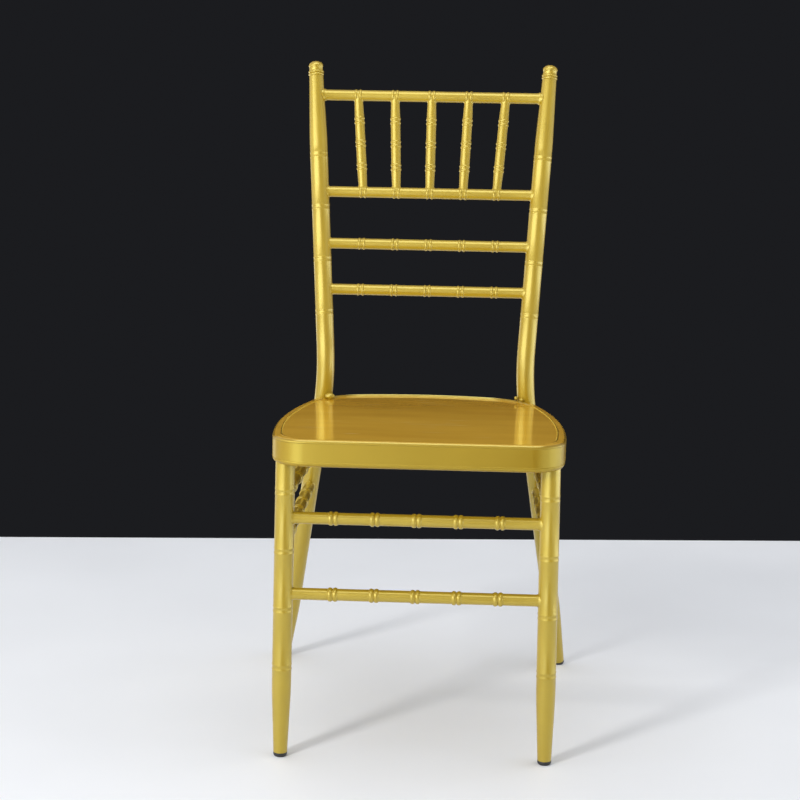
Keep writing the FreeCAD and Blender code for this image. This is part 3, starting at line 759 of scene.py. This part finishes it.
soft_lamp("ceiling_panel", (0, -0.3, 3.2), 5.0, 4.0, 52, white, aim=Vector((0, -0.29, 0)),
          mirrored=False)
soft_lamp("overhead_card", (0, -0.65, 2.9), 2.4, 1.8, 39, white, aim=Vector((0, -0.64, 0)),
          lights=False)
soft_lamp("left_card", (-1.62, -1.92, 1.2), 2.9, 1.4, 44, warm_white, lights=False)
soft_lamp("left_lamp", (-1.55, -2.0, 1.65), 0.38, 0.38, 34, warm_white, mirrored=False)
soft_lamp("left_side_panel", (-2.4, -0.3, 1.1), 2.0, 1.6, 3, (1.0, 0.99, 0.97))
soft_lamp("right_side_panel", (2.4, 0.0, 1.1), 2.6, 1.6, 16, white, mirrored=False)
soft_lamp("right_card", (2.4, 0.0, 0.35), 2.6, 0.7, 11, white, lights=False)

room = bpy.data.worlds.new("room")
room.use_nodes = True
room_nodes = room.node_tree.nodes
room_links = room.node_tree.links
gaze = room_nodes.new("ShaderNodeTexCoord")
gaze_parts = room_nodes.new("ShaderNodeSeparateXYZ")
room_links.new(gaze.outputs["Generated"], gaze_parts.inputs["Vector"])
room_dark = (0.011, 0.0115, 0.0135, 1)
room_bright = (0.73, 0.74, 0.765, 1)


def fade(value, start, end, low, high):
    """A soft step of one part of the direction."""
    node = room_nodes.new("ShaderNodeMapRange")
    node.interpolation_type = "SMOOTHSTEP"
    for name, number in (("From Min", start), ("From Max", end), ("To Min", low), ("To Max", high)):
        node.inputs[name].default_value = number
    room_links.new(value, node.inputs["Value"])
    return node.outputs["Result"]


def combine(operation, first, second):
    """Two soft steps worked together."""
    node = room_nodes.new("ShaderNodeMath")
    node.operation = operation
    room_links.new(first, node.inputs[0])
    room_links.new(second, node.inputs[1])
    return node.outputs["Value"]


behind = fade(gaze_parts.outputs["Y"], 0.60, 0.92, 1.0, 0.0)
overhead = fade(gaze_parts.outputs["Z"], 0.35, 0.95, 1.0, 0.65)
above_ground = fade(gaze_parts.outputs["Z"], -0.16, 0.02, 0.0, 1.0)
front_left = fade(gaze_parts.outputs["X"], -0.90, -0.60, 0.15, 1.0)
bright_left = combine("MULTIPLY", front_left, fade(gaze_parts.outputs["X"], -0.36, 0.09, 4.7, 0.02))
bright_right = fade(gaze_parts.outputs["X"], 0.25, 0.70, 0.0, 1.7)
front_right = fade(gaze_parts.outputs["X"], -0.15, 0.20, 1.0, 0.52)
right_side = fade(gaze_parts.outputs["X"], 0.60, 0.90, 0.0, 0.45)
around = combine("MULTIPLY", overhead, combine("ADD", front_right, right_side))
lit = room_nodes.new("ShaderNodeMix")
room_links.new(above_ground, lit.inputs["Factor"])
room_links.new(combine("ADD", bright_left, bright_right), lit.inputs["A"])
room_links.new(around, lit.inputs["B"])
glow = combine("MULTIPLY", behind, lit.outputs["Result"])
room_tone = room_nodes.new("ShaderNodeMix")
room_tone.data_type = "RGBA"
room_tone.clamp_factor = False
room_links.new(glow, room_tone.inputs["Factor"])
for plug in room_tone.inputs:
    if plug.type == "RGBA" and plug.name == "A":
        plug.default_value = room_dark
    if plug.type == "RGBA" and plug.name == "B":
        plug.default_value = room_bright
tone_out = next(plug for plug in room_tone.outputs if plug.type == "RGBA")
room_links.new(tone_out, room_nodes["Background"].inputs["Color"])
bpy.context.scene.world = room
bpy.context.scene.view_settings.view_transform = "Standard"

photo_side = 800
focal_pixels = 1665.6
camera_data = bpy.data.cameras.new("camera")
camera_data.sensor_width = 36
camera_data.lens = camera_data.sensor_width * focal_pixels / photo_side
camera = bpy.data.objects.new("camera", camera_data)
camera_place = Vector((0.0537, -2.3013, 0.83292))
camera_pan = 0.03723
camera_tilt = math.radians(9.4417)
camera_roll = 0.01889
camera.matrix_world = (Matrix.Translation(camera_place)
                       @ Matrix.Rotation(camera_pan, 4, "Z")
                       @ Matrix.Rotation(math.pi / 2 - camera_tilt, 4, "X")
                       @ Matrix.Rotation(camera_roll, 4, "Z"))
bpy.context.scene.collection.objects.link(camera)
bpy.context.scene.camera = camera
